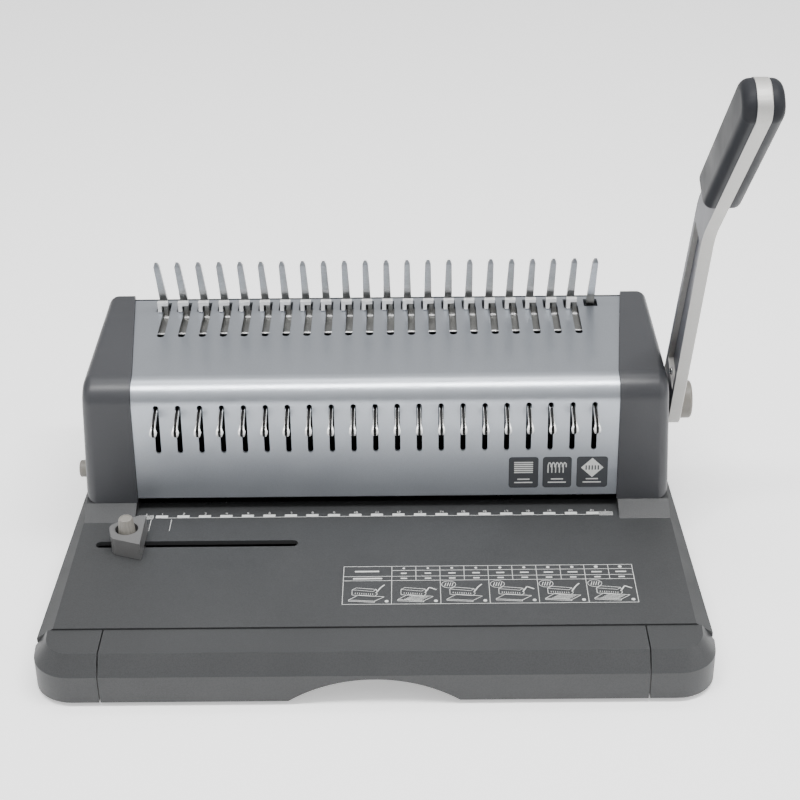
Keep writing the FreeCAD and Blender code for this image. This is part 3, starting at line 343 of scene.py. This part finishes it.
class Print:
    """Thin raised ink on a plane, drawn with bars, lines and filled outlines in the plane's own mm."""

    def __init__(self, origin, across, along, lift=0.06):
        self.origin = Vector(origin)
        self.across = Vector(across).normalized()
        self.along = Vector(along).normalized()
        self.lift = self.across.cross(self.along) * lift
        self.vertices = []
        self.faces = []

    def fill(self, outline, layers=1.0):
        """A slab of ink over a convex outline given anticlockwise, some layers thick."""
        first = len(self.vertices)
        count = len(outline)
        for level in (0, 1):
            for u, v in outline:
                flat = self.origin + self.across * u + self.along * v
                self.vertices.append(flat + self.lift * layers * level)
        self.faces.append([first + count + index for index in range(count)])
        for index in range(count):
            after = (index + 1) % count
            self.faces.append([first + index, first + after, first + count + after, first + count + index])

    def bar(self, left, low, right, high, layers=1.0):
        self.fill([(left, low), (right, low), (right, high), (left, high)], layers)

    def line(self, points, width=0.35):
        """Straight strokes from each point to the next."""
        for (u0, v0), (u1, v1) in zip(points, points[1:]):
            length = math.hypot(u1 - u0, v1 - v0)
            du = (v1 - v0) / length * width / 2
            dv = -(u1 - u0) / length * width / 2
            self.fill([(u0 + du, v0 + dv), (u1 + du, v1 + dv), (u1 - du, v1 - dv), (u0 - du, v0 - dv)])

    def disc(self, u, v, radius, steps=16):
        self.fill([(u + radius * math.cos(2 * math.pi * step / steps),
                    v + radius * math.sin(2 * math.pi * step / steps)) for step in range(steps)])

    def rounded(self, left, low, right, high, radius, steps=5):
        """A rectangle with round corners."""
        corners = (
            (right - radius, high - radius, 0),
            (left + radius, high - radius, 90),
            (left + radius, low + radius, 180),
            (right - radius, low + radius, 270),
        )
        outline = []
        for centre_u, centre_v, start in corners:
            for step in range(steps + 1):
                angle = math.radians(start + 90 * step / steps)
                outline.append((centre_u + radius * math.cos(angle), centre_v + radius * math.sin(angle)))
        self.fill(outline)

    def done(self, name, material, body):
        return add_mesh(name, self.vertices, self.faces, [material], body)


# strokes of each figure on a grid 1 wide and 2 high
FIGURES = {
    "0": [(0, 0), (1, 0), (1, 2), (0, 2), (0, 0)],
    "1": [(0.5, 0), (0.5, 2)],
    "2": [(0, 2), (1, 2), (1, 1), (0, 1), (0, 0), (1, 0)],
    "3": [(0, 2), (1, 2), (1, 1), (0.3, 1), (1, 1), (1, 0), (0, 0)],
    "4": [(0, 2), (0, 1), (1, 1), (1, 2), (1, 0)],
    "5": [(1, 2), (0, 2), (0, 1), (1, 1), (1, 0), (0, 0)],
    "6": [(1, 2), (0, 2), (0, 0), (1, 0), (1, 1), (0, 1)],
    "7": [(0, 2), (1, 2), (1, 0)],
    "8": [(0, 0), (1, 0), (1, 2), (0, 2), (0, 0), (0, 1), (1, 1)],
    "9": [(1, 0), (1, 2), (0, 2), (0, 1), (1, 1)],
}


def figures(ink, text, middle, low, height=1.9, width=0.28):
    """A plain number, centred on one place."""
    unit = height / 2
    step = unit * 1.5
    left = middle - (len(text) * step - (step - unit)) / 2
    for index, figure in enumerate(text):
        start = left + index * step
        ink.line([(start + u * unit, low + v * unit) for u, v in FIGURES[figure]], width)


# ---------------------------------------------------------------- print on the table
TABLE_TOP = 34.0
RULER_Y = -2.9
HOLE_WIDE = 8.0
HOLE_MARK = 3.0                  # depth of the block printed at each hole
HATCHES = ((-158, -148.6), (147.2, 156))
HATCH_LINES = 12
MARGIN_LINES = (-149.5, -136.0)
CHART_LEFT = -20.0
CHART_WIDE = 30.3                # one column
CHART_COLUMNS = 6
SHEET_STEPS = (1, 4, 5)          # columns whose picture has a sheet on the table
FIRST_LENS = 2
CHART_ROWS = (-60.5, -65.0, -71.3, -75.8, -100.4)


def ruler():
    """Baseline with one block and one number for every punched hole, and a hatched mark at each end."""
    ink = Print((0, 0, TABLE_TOP), (1, 0, 0), (0, 1, 0))
    half = (SLOTS - 1) / 2 * PITCH
    ink.line([(-half, RULER_Y), (half, RULER_Y)], 0.4)
    for index in range(SLOTS):
        middle = -half + index * PITCH
        ink.bar(middle - HOLE_WIDE / 2, RULER_Y, middle + HOLE_WIDE / 2, RULER_Y + HOLE_MARK)
        figures(ink, str(index + 1), middle, RULER_Y + HOLE_MARK + 0.9)
    hatch_low = RULER_Y - 1
    for left, right in HATCHES:
        for index in range(HATCH_LINES + 1):
            u = left + (right - left) * index / HATCH_LINES
            tall = 6.5 if index == HATCH_LINES // 2 else 4.4
            ink.line([(u, hatch_low), (u, hatch_low + tall)], 0.28)
        ink.line([(left, hatch_low), (right, hatch_low)], 0.3)
    for u in MARGIN_LINES:
        ink.line([(u, RULER_Y - 2), (u, -18)], 0.35)
    ink.done("table_ruler_print", INK_WHITE, "base")


def machine_pictogram(ink, left, low, raised, sheet):
    """Small line drawing of a punch with its lever, and a sheet on its table."""
    def draw(points, width=0.35):
        ink.line([(left + u, low + v) for u, v in points], width)

    draw([(3, 3), (19, 1.5), (25, 6), (9, 8), (3, 3)])
    draw([(3, 3), (3, 1.8), (19, 0.4), (19, 1.5)])
    draw([(5, 8), (5, 13.5), (7.5, 15.5), (20, 13.8), (20.5, 8.5), (19, 6.5), (5, 8)])
    draw([(5, 13.5), (18, 11.6), (20, 13.8)], 0.3)
    tip = (25, 18.5) if raised else (27, 13)
    draw([(19.8, 10), (22.6, 15.5), tip], 0.8)
    if sheet:
        for step in range(5):
            draw([(7 + step, 3.4 + 0.8 * step), (18 + step, 2.3 + 0.8 * step)], 0.3)
    for step in range(9):
        u = 7 + 1.35 * step
        drop = 0.14 * step
        draw([(u, 10.5 - drop), (u, 9.1 - drop)])


def chart_size(ink, middle, growth, dot):
    """One comb size: a dot and two bars in the place of its words."""
    top, first, second, third, _ = CHART_ROWS
    upper = (first + second) / 2
    lower = (second + third) / 2
    ink.disc(middle, (top + first) / 2, dot)
    ink.bar(middle - 1.4 - growth / 2, upper - 0.6, middle + 1.4 + growth / 2, upper + 0.6)
    ink.bar(middle - 2, lower - 0.6, middle + 2, lower + 0.6)


def chart_lens(ink, left, top):
    """Enlarged view of the comb in a ring, as each later step has it."""
    ring = []
    for angle in range(0, 361, 20):
        turn = math.radians(angle)
        ring.append((left + 5.2 + 4.4 * math.cos(turn), top - 4.6 + 3.6 * math.sin(turn)))
    ink.line(ring, 0.3)
    for step in range(4):
        u = left + 2.6 + 1.5 * step
        ink.line([(u, top - 6.6), (u + 1, top - 2.8)], 0.45)


def chart():
    """Six steps in a framed chart, with plain marks in the place of words."""
    ink = Print((0, 0, TABLE_TOP), (1, 0, 0), (0, 1, 0))
    right = CHART_LEFT + CHART_COLUMNS * CHART_WIDE
    top, first, second, third, bottom = CHART_ROWS
    for v in (top, third, bottom):
        ink.line([(CHART_LEFT, v), (right, v)])
    ink.line([(CHART_LEFT + CHART_WIDE, first), (right, first)])
    ink.line([(CHART_LEFT, second), (right, second)])
    for column in range(CHART_COLUMNS + 1):
        u = CHART_LEFT + column * CHART_WIDE
        ink.line([(u, top), (u, bottom)])
    heading = (top + second) / 2
    caption = (second + third) / 2
    ink.bar(CHART_LEFT + 7, heading - 0.7, CHART_LEFT + CHART_WIDE - 8, heading + 0.7)
    ink.bar(CHART_LEFT + 6, caption - 0.7, CHART_LEFT + CHART_WIDE - 6, caption + 0.7)
    for column in range(CHART_COLUMNS):
        u = CHART_LEFT + column * CHART_WIDE
        if column:
            ink.line([(u + CHART_WIDE / 2, top), (u + CHART_WIDE / 2, third)])
            for half in (0.25, 0.75):
                growth = 0.35 * (2 * column + 2 * half)
                chart_size(ink, u + CHART_WIDE * half, growth, 0.7 + 0.1 * column)
        machine_pictogram(ink, u + 0.8, bottom + 1.6, column % 2 == 0, column in SHEET_STEPS)
        ink.disc(u + CHART_WIDE - 3, bottom + 3, 1.2)
        if column >= FIRST_LENS:
            chart_lens(ink, u, third)
    ink.done("table_chart_print", INK_WHITE, "base")


# ---------------------------------------------------------------- print on the front panel
PANEL_LEAN = math.radians(6)
PANEL_FOOT = (7.0, 43.6)
SQUARE_LOW = 5.2
SQUARE_HIGH = 27.6
SQUARES = ((87.4, 107.0), (109.8, 128.9), (132.2, 152.7))
OVER_LIGHT = 2.6                 # layers of dark ink that stand above the light ink


def sheets_mark(light, middle):
    """Six bars, for a stack of sheets."""
    for step in range(6):
        low = 16 + 1.45 * step
        light.bar(middle - 6.2, low, middle + 6.2, low + 0.8)


def comb_mark(light, middle):
    """Five curled fingers."""
    for step in range(5):
        u = middle - 5 + 2.5 * step
        light.line([(u - 1, 16), (u - 1, 21.5), (u - 0.2, 23.6), (u + 0.9, 22.4), (u + 0.9, 20)], 0.7)


def holes_mark(light, dark, middle):
    """A diamond with a row of dark slots."""
    light.fill([(middle, 12.6), (middle + 7.4, 19.6), (middle, 26.6), (middle - 7.4, 19.6)])
    for step in range(5):
        u = middle - 4 + 2 * step
        dark.bar(u - 0.45, 18, u + 0.45, 21.2, OVER_LIGHT)


def panel_marks():
    """Three dark squares with light pictograms: sheets, a comb, and the row of holes."""
    up = (0, math.sin(PANEL_LEAN), math.cos(PANEL_LEAN))
    origin = (0, PANEL_FOOT[0], PANEL_FOOT[1])
    dark = Print(origin, (1, 0, 0), up, 0.05)
    light = Print(origin, (1, 0, 0), up, 0.09)
    for index, (left, right) in enumerate(SQUARES):
        dark.rounded(left, SQUARE_LOW, right, SQUARE_HIGH, 2)
        middle = (left + right) / 2
        if index == 0:
            sheets_mark(light, middle)
        elif index == 1:
            comb_mark(light, middle)
        else:
            holes_mark(light, dark, middle)
        light.bar(middle - 6, 8.6, middle + 6, 9.4)
        light.bar(middle - 4, 11, middle + 4, 11.8)
    dark.done("panel_square_print", INK_DARK, "base")
    light.done("panel_light_print", INK_WHITE, "base")


# ---------------------------------------------------------------- pull tabs
# stations from the tail to the bulb: y and z of the middle line, then the section's sizes
TAB_PATH = ((31, 106.8), (13, 106.8), (5, 105.0), (-0.5, 102.9), (-2.6, 101.8), (-3.6, 100.7), (-4.0, 99.4),
            (-3.9, 98.2), (-3.3, 97.2))
TAB_WIDE = (2.5, 2.7, 2.7, 2.8, 3.4, 4.4, 4.4, 3.4, 1.8)
TAB_TALL = (2.7, 2.7, 2.8, 2.9, 3.2, 3.8, 3.8, 3.0, 1.2)
TAB_GROOVE = (1.5, 1.5, 1.5, 1.4, 0.0, 1.5, 1.5, 0.0, 0.0)
TAB_MOUTH = (0.7, 0.7, 0.7, 0.68, 0.5, 0.42, 0.42, 0.4, 0.4)
TAB_STEPS = 5                    # rings between two stations
BULB_STEP = 3.5 * TAB_STEPS


def smooth_values(values, position):
    """Catmull-Rom value at a position counted in control points."""
    index = min(int(position), len(values) - 2)
    share = position - index
    before = values[max(index - 1, 0)]
    start = values[index]
    end = values[index + 1]
    after = values[min(index + 2, len(values) - 1)]
    slope = end - before
    bend = 2 * before - 5 * start + 4 * end - after
    twist = 3 * start - before - 3 * end + after
    return 0.5 * (2 * start + slope * share + bend * share ** 2 + twist * share ** 3)


def tab_section(wide, tall, groove, opening):
    """Rounded section with a groove along its top, as pairs across and up.

    The opening is the groove's width as a share of the section's.
    """
    half = wide / 2
    rise = tall / 2
    corner = min(0.35, half * 0.35, rise * 0.6)
    points = []
    for sign_u, sign_v, start in ((1, -1, 270), (1, 1, 0)):
        for step in range(4):
            angle = math.radians(start + 30 * step)
            points.append((sign_u * (half - corner) + corner * math.cos(angle),
                           sign_v * (rise - corner) + corner * math.sin(angle)))
    mouth = half * opening
    points += [(mouth, rise), (mouth * 0.8, rise - groove)]
    mirrored = [(-u, v) for u, v in reversed(points)]
    return points + mirrored


def tab_mesh():
    """One bright bent strip whose groove, ending in the eye of its bulb, is painted near-black as shade,
    and whose bulb has the near-white coat as a painted highlight.
    """
    vertices = []
    faces = []
    kinds = []
    last = len(TAB_PATH) - 1
    count = last * TAB_STEPS
    stations_y = [y for y, z in TAB_PATH]
    stations_z = [z for y, z in TAB_PATH]
    path = [(smooth_values(stations_y, step / TAB_STEPS), smooth_values(stations_z, step / TAB_STEPS))
            for step in range(count + 1)]
    for step, (y, z) in enumerate(path):
        before = path[max(step - 1, 0)]
        after = path[min(step + 1, count)]
        direction = Vector((0, after[0] - before[0], after[1] - before[1])).normalized()
        normal = Vector((0, direction.z, -direction.y))
        sizes = [max(smooth_values(values, step / TAB_STEPS), 0.02)
                 for values in (TAB_WIDE, TAB_TALL, TAB_GROOVE, TAB_MOUTH)]
        for u, v in tab_section(*sizes):
            vertices.append(Vector((u, y, z)) + normal * v)
    ring = len(vertices) // len(path)
    for step in range(count):
        for index in range(ring):
            after = (index + 1) % ring
            faces.append([step * ring + index, step * ring + after, (step + 1) * ring + after,
                          (step + 1) * ring + index])
            grooved = ring / 2 - 2 <= index <= ring / 2
            # groove faces get near-black painted shade; bulb faces get the near-white painted highlight
            kinds.append(1 if grooved else 2 if step >= BULB_STEP else 0)
    faces.append(list(range(ring)))
    faces.append([count * ring + index for index in reversed(range(ring))])
    kinds += [0, 2]
    mesh = bpy.data.meshes.new("pull_tab_form")
    mesh.from_pydata([vertex * MM for vertex in vertices], [], faces)
    mesh.materials.append(MATERIALS["chrome_tab"])
    mesh.materials.append(TAB_SHADE)
    mesh.materials.append(HIGHLIGHT_COAT)
    mesh.polygons.foreach_set("material_index", kinds)
    mesh.polygons.foreach_set("use_smooth", [True] * len(mesh.polygons))
    mesh.update()
    shape = bmesh.new()
    shape.from_mesh(mesh)
    bmesh.ops.recalc_face_normals(shape, faces=shape.faces)
    shape.to_mesh(mesh)
    shape.free()
    mesh.set_sharp_from_angle(angle=math.radians(40))
    return mesh


def pull_tabs():
    """The same tab on each of the pull tab bodies."""
    mesh = tab_mesh()
    for index in range(SLOTS):
        name = f"pull_tab_{index + 1:02d}"
        x = (index - (SLOTS - 1) / 2) * PITCH
        tab = place_mesh(name + "_look", mesh, name + "_body", (x, 0, 0))
        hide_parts(name)


# ---------------------------------------------------------------- small parts
def lathe_x(name, profile, centre, material, body, steps=32):
    """Turned part about an axis along X; profile pairs are x and radius."""
    vertices = []
    for x, radius in profile:
        for step in range(steps):
            angle = 2 * math.pi * step / steps
            vertices.append((x, centre[0] + radius * math.cos(angle), centre[1] + radius * math.sin(angle)))
    return add_mesh(name, vertices, stitched(len(profile), steps), [material], body, smooth=True)


# x from the hook's finger and height, for the hook and for the toe in front of it
HOOK_OUTLINE = ((-3.4, 124.4), (-0.7, 124.4), (-0.7, 129.2), (3.9, 129.2), (3.9, 131.95), (-3.4, 131.95))
HOOK_FRONT = 120.8
HOOK_REAR = 124.4
TOE_OUTLINE = ((0.5, 120), (4.6, 120), (4.6, 121.2), (0.5, 121.2))
TOE_FRONT = 119.6


def hook_faces():
    """Near-white coat over the post and bar of every hook, and on the toe below it: painted light on the
    hook faces that the front light catches.
    """
    vertices = []
    faces = []
    for index in range(SLOTS):
        middle = (index - (FINGERS - 1) / 2) * PITCH
        for outline, front, rear in ((HOOK_OUTLINE, HOOK_FRONT, HOOK_REAR),
                                     (TOE_OUTLINE, TOE_FRONT, HOOK_FRONT)):
            first = len(vertices)
            count = len(outline)
            for y in (front, rear):
                vertices += [(middle + u, y, z) for u, z in outline]
            faces.append([first + step for step in range(count)])
            faces.append([first + count + step for step in reversed(range(count))])
            for step in range(count):
                after = (step + 1) % count
                faces.append([first + after, first + step, first + count + step, first + count + after])
    hooks = add_mesh("painted_highlight_coat", vertices, faces, [HIGHLIGHT_COAT], "hook_slide")
    rounding = hooks.modifiers.new("edge", "BEVEL")
    rounding.width = 0.35 * MM
    rounding.segments = 2


KNOB_CENTRE = (-160.6, -33.5)
KNOB_FLUTES = 10
# height, radius and depth of the flutes
KNOB_PROFILE = ((27.2, 1.9, 0), (38.9, 1.9, 0), (39.05, 5.2, 0.1), (39.3, 5.9, 0.5), (53.2, 4.6, 0.5),
                (54.5, 4.2, 0.2), (54.8, 3.4, 0), (54.3, 3.1, 0), (54.3, 0.3, 0))


def knob_look():
    """Fluted knob with a dished top and its screw."""
    vertices = []
    steps = KNOB_FLUTES * 8
    for z, radius, depth in KNOB_PROFILE:
        for step in range(steps):
            angle = 2 * math.pi * step / steps
            reach = radius + depth * (abs(math.cos(KNOB_FLUTES * angle / 2)) - 0.6)
            vertices.append((KNOB_CENTRE[0] + reach * math.cos(angle),
                             KNOB_CENTRE[1] + reach * math.sin(angle), z))
    faces = stitched(len(KNOB_PROFILE), steps)
    knob = add_mesh("guide_knob_look", vertices, faces, [MATERIALS["knob_plastic"]], "guide_knob_body",
                    smooth=True)
    knob.data.set_sharp_from_angle(angle=math.radians(35))
    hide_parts("guide_knob")


PLATE_EDGE_HALF = 156
PLATE_EDGE = (97.2, 119.6)
PLATE_EDGE_RADIUS = 0.7


def plate_edge():
    """Rolled front edge of the slide plate, a thin rod with its ends broken, in the near-white coat as a
    painted highlight along the edge.
    """
    inset = PLATE_EDGE_HALF - PLATE_EDGE_RADIUS * 0.3
    end = PLATE_EDGE_RADIUS * 0.7
    profile = ((-PLATE_EDGE_HALF, end), (-inset, PLATE_EDGE_RADIUS), (inset, PLATE_EDGE_RADIUS),
               (PLATE_EDGE_HALF, end))
    lathe_x("slide_plate_edge", profile, PLATE_EDGE, HIGHLIGHT_COAT, "hook_slide", 10)


SPRING_SPOTS = (-160.0, 160.0)
SPRING_Y = 23.5
SPRING_LOW = 43.0
SPRING_TALL = 49.0
SPRING_TURNS = 8
TURN_STEPS = 20
WIRE_SIDES = 8
SPRING_RADIUS = 4.25
WIRE_RADIUS = 0.6


def coil_springs():
    """Two wire coils round the guide rods; the real ones shorten as the punches go down, these stay at full
    length.
    """
    vertices = []
    faces = []
    steps = SPRING_TURNS * TURN_STEPS
    rise = SPRING_TALL - 2 * WIRE_RADIUS
    for x in SPRING_SPOTS:
        faces += stitched(steps + 1, WIRE_SIDES, len(vertices))
        for step in range(steps + 1):
            angle = 2 * math.pi * step / TURN_STEPS
            outward = Vector((math.cos(angle), math.sin(angle), 0))
            axis = Vector((x, SPRING_Y, SPRING_LOW + WIRE_RADIUS + rise * step / steps))
            for corner in range(WIRE_SIDES):
                turn = 2 * math.pi * corner / WIRE_SIDES
                reach = SPRING_RADIUS + WIRE_RADIUS * math.cos(turn)
                vertices.append(axis + outward * reach + Vector((0, 0, WIRE_RADIUS * math.sin(turn))))
    springs = add_mesh("return_springs_look", vertices, faces, [MATERIALS["zinc_steel"]], "base",
                       smooth=True)
    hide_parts("return_springs")
    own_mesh(springs)


ARM_IN = 197.0
RIVET = (48.2, 113.5)
RIVET_PROFILE = ((-1.5, 0.6), (-1.4, 1.6), (-0.9, 2.5), (0, 2.9))


def arm_rivet():
    """Domed rivet head on the arm's inner face."""
    profile = [(ARM_IN + x, radius) for x, radius in RIVET_PROFILE]
    lathe_x("arm_rivet", profile, RIVET, MATERIALS["bright_steel"], "handle")


# ---------------------------------------------------------------- stage
FLOOR_HALF = 80.0
FLOOR_GLOW = 0.55
SKY_LOW = 0.30                   # brightness at the horizon
SKY_HIGH = 1.0                   # brightness overhead
LIGHT_TARGET = (0.0, 0.0, 0.08)
# name, place, width and height in metres, watts
LIGHTS = (
    ("key", (0.1, -0.4, 1.75), (1.9, 0.22), 48),
    ("top_strip", (0.0, 0.35, 1.5), (1.6, 0.35), 6),
    ("left_fill", (-1.5, -0.5, 0.8), (0.9, 1.2), 3),
    ("right_fill", (1.5, -0.6, 0.9), (0.9, 1.2), 7),
)
CAMERA_PLACE = (25.205, -944.355, 657.433)
CAMERA_LENS = 76.5
CAMERA_DOWN = math.radians(29.608)
CAMERA_TURN = math.radians(0.537)
CAMERA_ROLL = math.radians(-0.812)


def build_floor():
    """Plain pale floor that reaches the horizon."""
    half = FLOOR_HALF
    mesh = bpy.data.meshes.new("floor")
    mesh.from_pydata([(-half, -half, 0), (half, -half, 0), (half, half, 0), (-half, half, 0)], [],
                     [(0, 1, 2, 3)])
    floor = bpy.data.objects.new("floor", mesh)
    bpy.context.scene.collection.objects.link(floor)
    surface = Surface("floor_white", (0.95, 0.95, 0.95, 1), 0.9)
    surface.shader.inputs["Emission Color"].default_value = (1, 1, 1, 1)
    surface.shader.inputs["Emission Strength"].default_value = FLOOR_GLOW
    floor.data.materials.append(surface.material)


def build_sky():
    """White surroundings, brighter overhead than at the horizon."""
    world = bpy.data.worlds.new("studio")
    bpy.context.scene.world = world
    world.use_nodes = True
    sky = world.node_tree
    direction = sky.nodes.new("ShaderNodeTexCoord")
    split = sky.nodes.new("ShaderNodeSeparateXYZ")
    brightness = sky.nodes.new("ShaderNodeMapRange")
    brightness.inputs["From Min"].default_value = 0.1
    brightness.inputs["From Max"].default_value = 0.9
    brightness.inputs["To Min"].default_value = SKY_LOW
    brightness.inputs["To Max"].default_value = SKY_HIGH
    sky.links.new(direction.outputs["Generated"], split.inputs["Vector"])
    sky.links.new(split.outputs["Z"], brightness.inputs["Value"])
    sky.links.new(brightness.outputs["Result"], sky.nodes["Background"].inputs["Strength"])
    sky.nodes["Background"].inputs["Color"].default_value = (1, 1, 1, 1)


def build_lights():
    """Soft rectangles aimed at the machine."""
    for name, place, size, power in LIGHTS:
        light = bpy.data.lights.new(name, "AREA")
        light.shape = "RECTANGLE"
        light.size = size[0]
        light.size_y = size[1]
        light.energy = power
        obj = bpy.data.objects.new(name, light)
        obj.location = place
        aim = Vector(LIGHT_TARGET) - Vector(place)
        obj.rotation_euler = aim.to_track_quat("-Z", "Y").to_euler()
        bpy.context.scene.collection.objects.link(obj)


def build_camera():
    """Camera above and in front of the machine, looking down at it."""
    camera = bpy.data.cameras.new("camera")
    camera.sensor_width = 36.0
    camera.lens = CAMERA_LENS
    camera.clip_start = 0.01
    obj = bpy.data.objects.new("camera", camera)
    turned = Matrix.Rotation(CAMERA_TURN, 4, "Z")
    tipped = Matrix.Rotation(math.pi / 2 - CAMERA_DOWN, 4, "X")
    rolled = Matrix.Rotation(CAMERA_ROLL, 4, "Z")
    obj.matrix_world = Matrix.Translation(Vector(CAMERA_PLACE) * MM) @ turned @ tipped @ rolled
    bpy.context.scene.collection.objects.link(obj)
    bpy.context.scene.camera = obj


dress_frame()
ruler()
chart()
panel_marks()
pull_tabs()
hook_faces()
plate_edge()
coil_springs()
knob_look()
arm_rivet()
build_floor()
build_sky()
build_lights()
build_camera()
